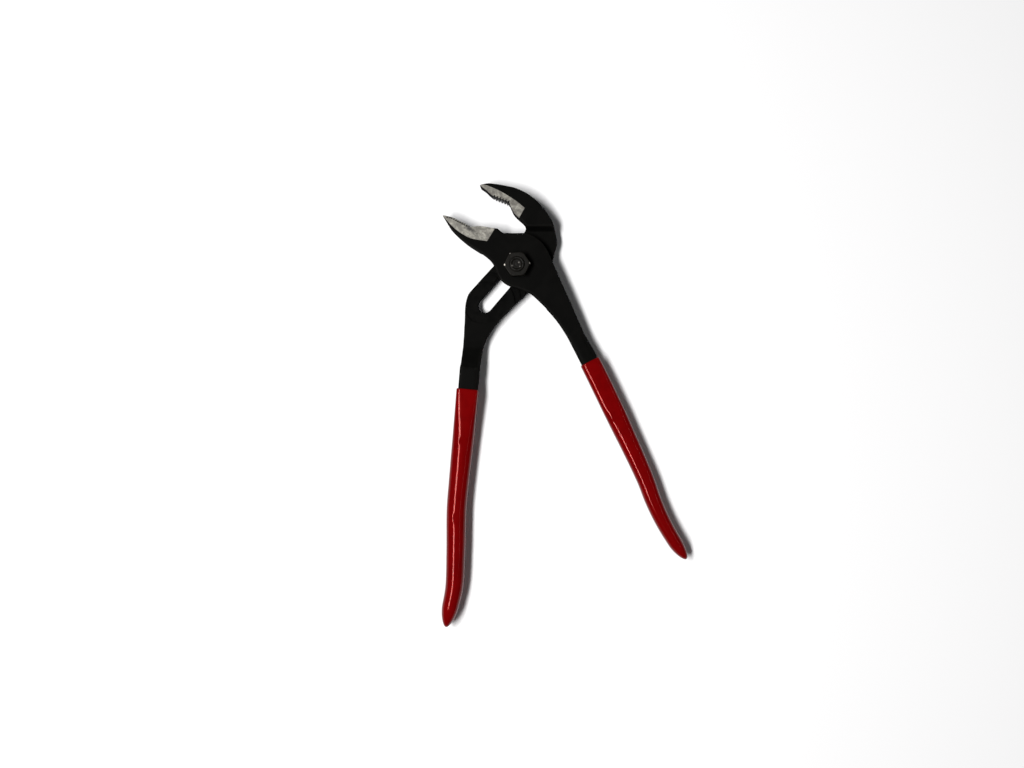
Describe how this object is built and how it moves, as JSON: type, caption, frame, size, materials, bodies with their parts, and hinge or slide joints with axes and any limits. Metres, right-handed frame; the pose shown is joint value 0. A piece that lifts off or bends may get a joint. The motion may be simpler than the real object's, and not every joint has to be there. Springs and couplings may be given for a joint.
{
  "type": "tongue and groove pliers",
  "caption": "Pliers with curved toothed jaws: one arm has a slot and curved grooves, the other a tongue that shifts between them and swings on a bolt; dipped handle grips.",
  "frame": {"origin": "on the pivot bolt's axis, at the flat underside of the bolt's head, with the bolt in the first groove place", "axes": "+Z along the bolt from its head to its nut, +Y from the handles to the jaws, +X towards the tongue arm's handle"},
  "size_m": [0.1428, 0.2555, 0.0233],
  "materials": {
    "black_steel": "satin black oxide on forged steel",
    "bolt_steel": "dark oiled steel, worn bright at the corners",
    "red_vinyl": "glossy dipped vinyl"
  },
  "bodies": {
    "slotted_arm": {"slotted_arm": "black_steel", "slotted_arm_grip": "red_vinyl"},
    "pivot": {"pivot_bolt": "bolt_steel", "pivot_nut": "bolt_steel"},
    "tongue_arm": {"tongue_arm": "black_steel", "tongue_arm_grip": "red_vinyl"}
  },
  "joints": [
    {"name": "groove_slide", "type": "slide", "parent": "slotted_arm", "child": "pivot", "axis": [-0.6494, -0.7604, 0], "range_m": [0, 0.0282]},
    {"name": "jaw_hinge", "type": "hinge", "parent": "pivot", "child": "tongue_arm", "pos_m": [0, 0, 0.0126], "axis": [0, 0, 1], "range_deg": [-30, 35]}
  ]
}
